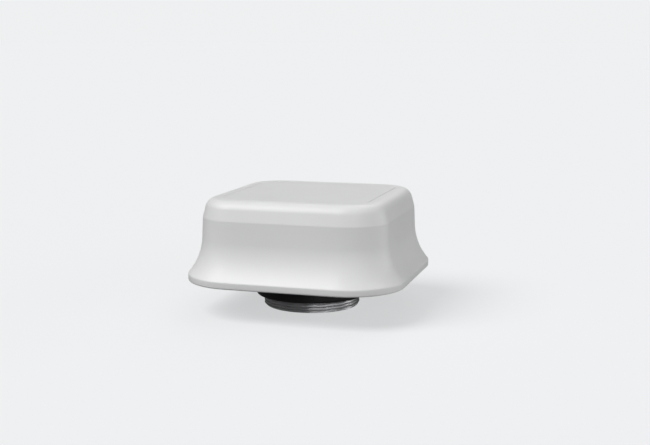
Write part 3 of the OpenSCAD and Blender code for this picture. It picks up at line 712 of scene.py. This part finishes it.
def pressed_ferrite():
    """Grey pressed ferrite with a gritty face."""
    material, tree, shader = new_finish("pressed_ferrite", (0.09, 0.09, 0.092), 0.7)
    tint(tree, shader, noise(tree, 0.5 * mm, 5), (0.06, 0.06, 0.062), (0.13, 0.13, 0.132))
    gloss(tree, shader, noise(tree, 1 * mm, 3), 0.6, 0.8)
    relief(tree, shader, noise(tree, 0.2 * mm, 4), 0.04 * mm, 0.7)
    return material


def drawn_can(name, tone):
    """A bright drawn can with fine rings."""
    material, tree, shader = new_finish(name, (tone, tone, tone), 0.28, 1.0)
    tint(tree, shader, noise(tree, 1.5 * mm, 3), (tone * 0.9,) * 3, (tone * 1.06,) * 3)
    gloss(tree, shader, noise(tree, 0.7 * mm, 4), 0.2, 0.36)
    relief(tree, shader, noise(tree, 0.2 * mm, 2, (1, 1, 8)), 0.006 * mm, 0.5)
    return material


def fired_ceramic():
    """Cream microwave ceramic with fine dark specks and a chalky face."""
    material, tree, shader = new_finish("fired_ceramic", (0.7, 0.64, 0.52), 0.62)
    tint(tree, shader, noise(tree, 0.35 * mm, 6), (0.62, 0.56, 0.45), (0.74, 0.68, 0.57))
    gloss(tree, shader, noise(tree, 2 * mm, 3), 0.55, 0.7)
    relief(tree, shader, noise(tree, 0.15 * mm, 4), 0.02 * mm, 0.5)
    return material


def fired_silver():
    """Screen-printed silver, matt and slightly streaked."""
    material, tree, shader = new_finish("fired_silver", (0.74, 0.74, 0.72), 0.48, 1.0)
    tint(tree, shader, noise(tree, 1.5 * mm, 4, (1, 4, 1)), (0.68, 0.68, 0.66), (0.8, 0.8, 0.78))
    gloss(tree, shader, noise(tree, 0.6 * mm, 4), 0.42, 0.56)
    relief(tree, shader, noise(tree, 0.18 * mm, 3), 0.01 * mm, 0.5)
    return material


def tinned_copper():
    """Rolled copper under a thin tin wash."""
    material, tree, shader = new_finish("tinned_copper", (0.7, 0.42, 0.28), 0.36, 1.0)
    tint(tree, shader, noise(tree, 6 * mm, 4), (0.66, 0.36, 0.22), (0.76, 0.52, 0.4))
    gloss(tree, shader, noise(tree, 1.5 * mm, 4), 0.28, 0.44)
    relief(tree, shader, noise(tree, 0.3 * mm, 2, (1, 14, 1)), 0.008 * mm, 0.5)
    return material


def turned_brass():
    """Hexagon brass bar, drawn and cut, slightly dulled."""
    material, tree, shader = new_finish("turned_brass", (0.7, 0.54, 0.26), 0.32, 1.0)
    tint(tree, shader, noise(tree, 1.5 * mm, 4), (0.62, 0.47, 0.21), (0.76, 0.6, 0.32))
    gloss(tree, shader, noise(tree, 0.8 * mm, 3), 0.24, 0.42)
    relief(tree, shader, noise(tree, 0.25 * mm, 2, (8, 8, 1)), 0.008 * mm, 0.5)
    return material


for nodes, material in (
    (("main_board", "antenna_board"), solder_mask()),
    (("board_standoffs", "board_spacers"), turned_brass()),
    (("receiver_module", "amplifier_shield"), tinned_sheet()),
    (("processor_chip", "memory_chip", "amplifier_chips"), chip_resin()),
    (("power_inductor",), pressed_ferrite()),
    (("filter_capacitors",), drawn_can("capacitor_metal", 0.66)),
    (("backup_battery",), drawn_can("cell_metal", 0.62)),
    (("coax_sockets", "coax_bullet", "feed_pins"), gold),
    (("ground_plane",), tinned_copper()),
    (("lower_patch", "upper_patch"), fired_ceramic()),
    (("lower_electrode", "upper_electrode"), fired_silver()),
    (("antenna_screws",), screw_finish),
):
    for node in nodes:
        clad(node, material)

# ---- Radome cover ----
# The square white shell is one injection moulding of weatherproof plastic, 2.5 mm thick. Its section
# is the same all the way round, so it is swept along a rounded square, and four screw bosses stand
# inside its corners. It is screwed down from below through the base plate.
cover_low, cover_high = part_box("radome_cover")
rim_z = cover_low.z
top_z = cover_high.z
body_h = top_z - rim_z
base_half = cover_high.x
side_half = 48.1 * mm
side_corner = 21 * mm
cover_wall = 2.5 * mm
rim_edge = 0.8 * mm
lip_face = 3.0 * mm
lip_edge = 1.2 * mm
lip_tuck, lip_rise = 0.3 * mm, 0.8 * mm
flare_h = 22 * mm
wall_draft = math.radians(2.5)
shoulder_h = body_h - 9.8 * mm
shoulder_lean = math.radians(15)
shoulder_blend = 2.5 * mm
crown_r = 6 * mm
pocket_half = 38 * mm
pocket_depth = 0.3 * mm
pocket_edge = 0.06 * mm
trench_w = 0.5 * mm
trench_depth = 0.8 * mm
well_edge = 0.3 * mm
well_step = 1.2 * mm
ledge_half = 49.4 * mm
ledge_h = 3.5 * mm
cap_half = 36.5 * mm
boss_r = 4 * mm
boss_edge = 0.2 * mm
boss_top = rim_z + shoulder_h + 1.5 * mm
boss_hole_r = 1.55 * mm
boss_hole_depth = 9.2 * mm
boss_hole_tip = 10 * mm


def arc(centre, radius, start, end, steps):
    """Points on an arc in the section plane, as (half width, height), from one angle to another."""
    return [
        (centre[0] + radius * math.cos(start + (end - start) * i / steps),
         centre[1] + radius * math.sin(start + (end - start) * i / steps))
        for i in range(steps + 1)
    ]


def line(start, end, steps):
    """Points between two places in the section, without the last."""
    return [
        (start[0] + (end[0] - start[0]) * i / steps, start[1] + (end[1] - start[1]) * i / steps)
        for i in range(steps)
    ]


def cover_section():
    """The cover's section from the pocket in the top, down the outside, and back up the inside."""
    flare_top = side_half + (shoulder_h - flare_h) * math.tan(wall_draft)
    lip_point = (base_half - lip_tuck, lip_face + lip_rise)
    chord_w, chord_h = lip_point[0] - flare_top, flare_h - lip_point[1]
    lip_lean = 2 * math.atan2(chord_w, chord_h) - wall_draft
    flare_r = math.hypot(chord_w, chord_h) / (2 * math.sin((lip_lean - wall_draft) / 2))
    flare_centre = (flare_top + flare_r * math.cos(wall_draft), flare_h + flare_r * math.sin(wall_draft))
    crown_z = body_h - crown_r
    crown_foot = crown_z + crown_r * math.sin(shoulder_lean)
    crown_centre = (side_half - (crown_foot - shoulder_h) * math.tan(shoulder_lean)
                    - crown_r * math.cos(shoulder_lean), crown_z)
    # The wall and the shoulder meet in a soft crease, an arc tangent to both
    turn = (shoulder_lean - wall_draft) / 2
    reach = shoulder_blend * math.tan(turn)
    low = (side_half + reach * math.sin(wall_draft), shoulder_h - reach * math.cos(wall_draft))
    crease_centre = (low[0] - shoulder_blend * math.cos(wall_draft),
                     low[1] - shoulder_blend * math.sin(wall_draft))
    quarter = math.pi / 2

    # A narrow trench round the pocket's floor takes the label's glue, and darkens the hairline gap
    floor_end = (pocket_half - trench_w, body_h - pocket_depth)
    trench_z = body_h - trench_depth
    outside = line((cap_half, body_h - pocket_depth), floor_end, 3)
    outside += [floor_end, (pocket_half - trench_w, trench_z), (pocket_half, trench_z)]
    outside += arc((pocket_half + pocket_edge, body_h - pocket_edge), pocket_edge, math.pi, quarter, 3)
    outside += line((pocket_half + 2 * pocket_edge, body_h), (crown_centre[0], body_h), 3)
    outside += arc(crown_centre, crown_r, quarter, shoulder_lean, 20)
    outside += arc(crease_centre, shoulder_blend, shoulder_lean, wall_draft, 8)
    outside += arc(flare_centre, flare_r, math.pi + wall_draft, math.pi + lip_lean, 28)[1:]
    outside += arc((base_half - lip_edge, lip_face), lip_edge, lip_lean, 0, 6)[1:]
    outside += arc((base_half - rim_edge, rim_edge), rim_edge, 0, -quarter, 6)
    well = base_half - cover_wall
    outside += arc((well + well_edge, well_edge), well_edge, -quarter, -math.pi, 3)
    outside += line((well, well_step), (well, ledge_h), 2)
    outside += line((well, ledge_h), (ledge_half, ledge_h), 2)
    outside += [(ledge_half, ledge_h)]
    well_lean = math.acos((flare_centre[0] - ledge_half) / (flare_r + cover_wall))
    outside += arc(flare_centre, flare_r + cover_wall, math.pi + well_lean, math.pi + wall_draft, 12)
    outside += arc(crown_centre, crown_r - cover_wall, shoulder_lean, quarter, 8)
    outside += [(cap_half, body_h - cover_wall)]
    return outside


def sweep_tree():
    """A node tree that sweeps a section along a rounded square: X of the section is outwards, Y is down."""
    tree = bpy.data.node_groups.new("square_sweep", "GeometryNodeTree")
    for name, kind, value in (
        ("Section", "Geometry", None), ("Half Width", "Float", 0.05), ("Corner Radius", "Float", 0.02),
        ("Corner Steps", "Int", 24), ("Finish", "Material", None),
    ):
        add_input(tree, name, kind, value)
    tree.interface.new_socket("Swept", in_out="OUTPUT", socket_type="NodeSocketGeometry")
    link = tree.links.new
    source = tree.nodes.new("NodeGroupInput")
    double = tree.nodes.new("ShaderNodeMath")
    double.operation = "MULTIPLY"
    double.inputs[1].default_value = 2
    link(source.outputs["Half Width"], double.inputs[0])
    square = tree.nodes.new("GeometryNodeCurvePrimitiveQuadrilateral")
    link(double.outputs[0], square.inputs["Width"])
    link(double.outputs[0], square.inputs["Height"])
    fillet = tree.nodes.new("GeometryNodeFilletCurve")
    fillet.mode = "POLY"
    link(square.outputs[0], fillet.inputs["Curve"])
    link(source.outputs["Corner Radius"], fillet.inputs["Radius"])
    link(source.outputs["Corner Steps"], fillet.inputs["Count"])
    upright = tree.nodes.new("GeometryNodeSetCurveNormal")
    upright.mode = "Z_UP"
    link(fillet.outputs[0], upright.inputs["Curve"])
    sweep = tree.nodes.new("GeometryNodeCurveToMesh")
    link(upright.outputs[0], sweep.inputs["Curve"])
    link(source.outputs["Section"], sweep.inputs["Profile Curve"])
    end_tree(tree, sweep.outputs[0], source)
    return tree


square_sweep = sweep_tree()


def swept_square(name, section, half, corner, base_z, steps=24, crease=35):
    """A closed mesh swept along a rounded square. The section is (half width, height above base_z)."""
    curve = bpy.data.curves.new(name, "CURVE")
    curve.dimensions = "3D"
    spline = curve.splines.new("POLY")
    spline.points.add(len(section) - 1)
    for point, (across, up) in zip(spline.points, section):
        point.co = (across - half, -up, 0, 1)
    made = made_by(square_sweep, {
        "Half Width": half, "Corner Radius": corner, "Corner Steps": steps,
    }, name, curve)
    mesh = bmesh.new()
    mesh.from_mesh(made)
    bmesh.ops.translate(mesh, verts=mesh.verts, vec=(0, 0, base_z))
    close_up(mesh, made, crease)
    return made


def moulded_white():
    """Satin white plastic: a fine spark-eroded grain, faint flow marks and an even tone."""
    material, tree, shader = new_finish("moulded_white", (0.74, 0.74, 0.74), 0.45)
    tint(tree, shader, noise(tree, 30 * mm, 2), (0.73, 0.73, 0.732), (0.75, 0.75, 0.751))
    gloss(tree, shader, noise(tree, 1.2 * mm, 4), 0.4, 0.5)
    relief(tree, shader, noise(tree, 0.22 * mm, 4), 0.006 * mm, 0.6)
    return material


def combined(name, base, tool, operation):
    """A piece made by joining a tool object to a base object, or cutting it away; both are removed."""
    base.name = name + "_maker"
    step = base.modifiers.new("combine", "BOOLEAN")
    step.operation = operation
    step.solver = "EXACT"
    step.object = tool
    bpy.context.view_layer.update()
    mesh = bpy.data.meshes.new_from_object(base.evaluated_get(bpy.context.evaluated_depsgraph_get()))
    mesh.name = name
    bpy.data.objects.remove(base)
    bpy.data.objects.remove(tool)
    return new_object(name, mesh)


cover_shell = new_object("cover_shell", swept_square(
    "cover_shell", cover_section(), side_half, side_corner, rim_z, 28
))
bosses = bmesh.new()
boss_low = base_high.z
for across, along in ((1, 1), (-1, 1), (-1, -1), (1, -1)):
    lathe(bosses, [
        (boss_hole_r, boss_low), (boss_r - boss_edge, boss_low), (boss_r, boss_low + boss_edge),
        (boss_r, boss_top), (axis_gap, boss_top),
        (axis_gap, boss_low + boss_hole_tip), (boss_hole_r, boss_low + boss_hole_depth),
    ], 40, centre=(across * boss_spot, along * boss_spot))
finish_piece(combined("radome_shell", cover_shell, closed_object("cover_bosses", bosses), "UNION"),
             moulded_white(), "housing", "white_plastic", "radome_cover")

# ---- Top inlay ----
# A thin blank film label with a satin face, die-cut as a rounded square. It is stuck flush into the
# shallow pocket in the cover's top, with a hairline gap round it.


def satin_film():
    """Matt polycarbonate film with a fine velvet grain, a shade greyer than the cover."""
    material, tree, shader = new_finish("satin_film", (0.7, 0.7, 0.705), 0.5)
    tint(tree, shader, noise(tree, 18 * mm, 2), (0.69, 0.69, 0.695), (0.71, 0.71, 0.715))
    gloss(tree, shader, noise(tree, 0.8 * mm, 3), 0.46, 0.56)
    relief(tree, shader, noise(tree, 0.12 * mm, 3), 0.004 * mm, 0.6)
    return material


inlay_low, inlay_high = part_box("top_inlay")
film_t = inlay_high.z - inlay_low.z
film_half = inlay_high.x - 0.1 * mm
film_corner = 9 * mm
film_edge = 0.03 * mm
inlay_mesh = swept_square("blank_label", [
    (cap_half, 0), (film_half - film_edge, 0), (film_half, film_edge), (film_half, film_t - 0.08 * mm),
    (film_half - film_edge, film_t - 0.02 * mm), (film_half - 0.1 * mm, film_t), (cap_half, film_t),
], film_half, film_corner, inlay_low.z, 20)
finish_piece(new_object("blank_label", inlay_mesh), satin_film(), "housing", "inlay_film", "top_inlay")

# ---- Thrust washer and lock nut ----
# A plated steel washer and a round nut moulded in black glass-filled plastic are run up the thread to
# clamp the panel. Four holes in the nut's lower face take a pin spanner. The nut has a true thread.


def zinc_plate():
    """Bright zinc with a cool cast, faint swirls and small scratches."""
    material, tree, shader = new_finish("zinc_plate", (0.56, 0.57, 0.58), 0.34, 1.0)
    tint(tree, shader, noise(tree, 3 * mm, 5), (0.5, 0.51, 0.53), (0.62, 0.62, 0.62))
    gloss(tree, shader, noise(tree, 1 * mm, 5), 0.26, 0.46)
    relief(tree, shader, noise(tree, 0.15 * mm, 3), 0.01 * mm, 0.4)
    return material


washer_low, washer_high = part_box("thrust_washer")
washer_in = neck_r + 0.3 * mm
washer_edge = 0.2 * mm
washer = bmesh.new()
lathe(washer, softened([
    (washer_in, washer_low.z), (washer_high.x, washer_low.z),
    (washer_high.x, washer_high.z), (washer_in, washer_high.z),
], washer_edge), 128)
finish_piece(closed_object("plated_washer", washer), zinc_plate(),
             "washer", "washer_steel", "thrust_washer")

nut_low, nut_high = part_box("lock_nut")
nut_out = nut_high.x
nut_bore = neck_r + 0.1 * mm
nut_root = nut_bore + neck_thread_depth
nut_edge = 1.2 * mm
nut_top_edge = 0.4 * mm
hole_circle = 27.1 * mm
hole_r, hole_chamfer = 1.1 * mm, 0.2 * mm
hole_depth, hole_tip = 3 * mm, 3.3 * mm
hole_below = nut_low.z - 1 * mm
nut = bmesh.new()
nut.from_mesh(made_by(screw_thread, {
    "Radius": nut_bore, "Depth": -neck_thread_depth, "Pitch": neck_thread_pitch,
    "Length": nut_high.z - nut_low.z, "Base": nut_low.z, "Lead In": neck_thread_depth,
    "Around": 160, "Rows": 80,
}, "nut_thread"))
lathe(nut, [(nut_root, nut_low.z)]
      + arc((nut_out - nut_edge, nut_low.z + nut_edge), nut_edge, -math.pi / 2, 0, 8)
      + arc((nut_out - nut_top_edge, nut_high.z - nut_top_edge), nut_top_edge, 0, math.pi / 2, 4)
      + [(nut_root, nut_high.z)], 160, closed=False)
nut_blank = closed_object("nut_blank", nut)
spanner_holes = bmesh.new()
for i in range(4):
    angle = math.radians(45 + 90 * i)
    lathe(spanner_holes, [
        (hole_r + hole_chamfer, hole_below), (hole_r + hole_chamfer, nut_low.z),
        (hole_r, nut_low.z + hole_chamfer), (hole_r, nut_low.z + hole_depth),
        (axis_gap, nut_low.z + hole_tip), (axis_gap, hole_below),
    ], 32, centre=(hole_circle * math.cos(angle), hole_circle * math.sin(angle)))
finish_piece(combined("round_nut", nut_blank, closed_object("spanner_holes", spanner_holes), "DIFFERENCE"),
             black_moulding("nut_moulding", 0.01, 0.3, 0.5, 0.25), "nut", "nut_plastic", "lock_nut")

# ---- Studio ----
# A plain pale floor that runs out to a background of the same tone. A large soft lamp stands high on
# the left in front, three low ones go round the right from front to back, and one lifts the far side.
studio_tone = (0.862, 0.87, 0.878)
floor_half = 60
floor_corners = [(floor_half * x, floor_half * y, 0) for x, y in ((-1, -1), (1, -1), (1, 1), (-1, 1))]
floor_mesh = bpy.data.meshes.new("floor")
floor_mesh.from_pydata(floor_corners, [], [(0, 1, 2, 3)])
floor = new_object("floor", floor_mesh)
paper, _, paper_shader = new_finish("lit_paper", (0.3, 0.302, 0.306), 1.0, specular=0.0)
paper_shader.inputs["Emission Color"].default_value = (*studio_tone, 1)
paper_shader.inputs["Emission Strength"].default_value = 0.66
floor_mesh.materials.append(paper)
floor.visible_diffuse = False
floor.visible_glossy = False

camera_down, camera_turn = math.radians(9.24), math.radians(16.72)
camera_data = bpy.data.cameras.new("camera")
camera_data.lens = 62.2
camera_data.sensor_width = 36
camera_data.clip_start = 0.01
camera_data.clip_end = 500
camera = new_object("camera", camera_data)
camera.location = (173.1 * mm, -552.5 * mm, rim_z + 120 * mm)
camera.rotation_euler = (math.pi / 2 - camera_down, 0, camera_turn)
bpy.context.scene.camera = camera


def soft_lamp(name, azimuth, elevation, spread_angle, strength):
    """A broad far lamp aimed at the receiver; azimuth 0 is in front and 90 is on the right."""
    data = bpy.data.lights.new(name, "SUN")
    data.angle = math.radians(spread_angle)
    data.energy = strength
    a, e = math.radians(azimuth), math.radians(elevation)
    away = Vector((math.sin(a) * math.cos(e), -math.cos(a) * math.cos(e), math.sin(e)))
    lamp = new_object(name, data)
    lamp.location = away
    lamp.rotation_euler = away.to_track_quat("Z", "Y").to_euler()


for lamp_name, azimuth, elevation, width, strength in (
    ("key_lamp", -53, 50, 40, 2.6),
    ("fill_lamp", 38, 10, 45, 1.05),
    ("side_lamp", 80, 12, 45, 0.6),
    ("edge_lamp", 122, 6, 25, 0.65),
    ("back_lamp", 180, 40, 40, 0.4),
):
    soft_lamp(lamp_name, azimuth, elevation, width, strength)

# The background is as bright as the floor to the eye, and gives the receiver a weaker even light
world = bpy.data.worlds.new("studio")
world.use_nodes = True
sky = world.node_tree.nodes["Background"]
sky.inputs["Color"].default_value = (*studio_tone, 1)
seen = world.node_tree.nodes.new("ShaderNodeLightPath")
level = world.node_tree.nodes.new("ShaderNodeMapRange")
level.inputs["To Min"].default_value = 0.15
level.inputs["To Max"].default_value = 1.0
world.node_tree.links.new(seen.outputs["Is Camera Ray"], level.inputs["Value"])
world.node_tree.links.new(level.outputs["Result"], sky.inputs["Strength"])
bpy.context.scene.world = world
bpy.context.scene.view_settings.view_transform = "Standard"
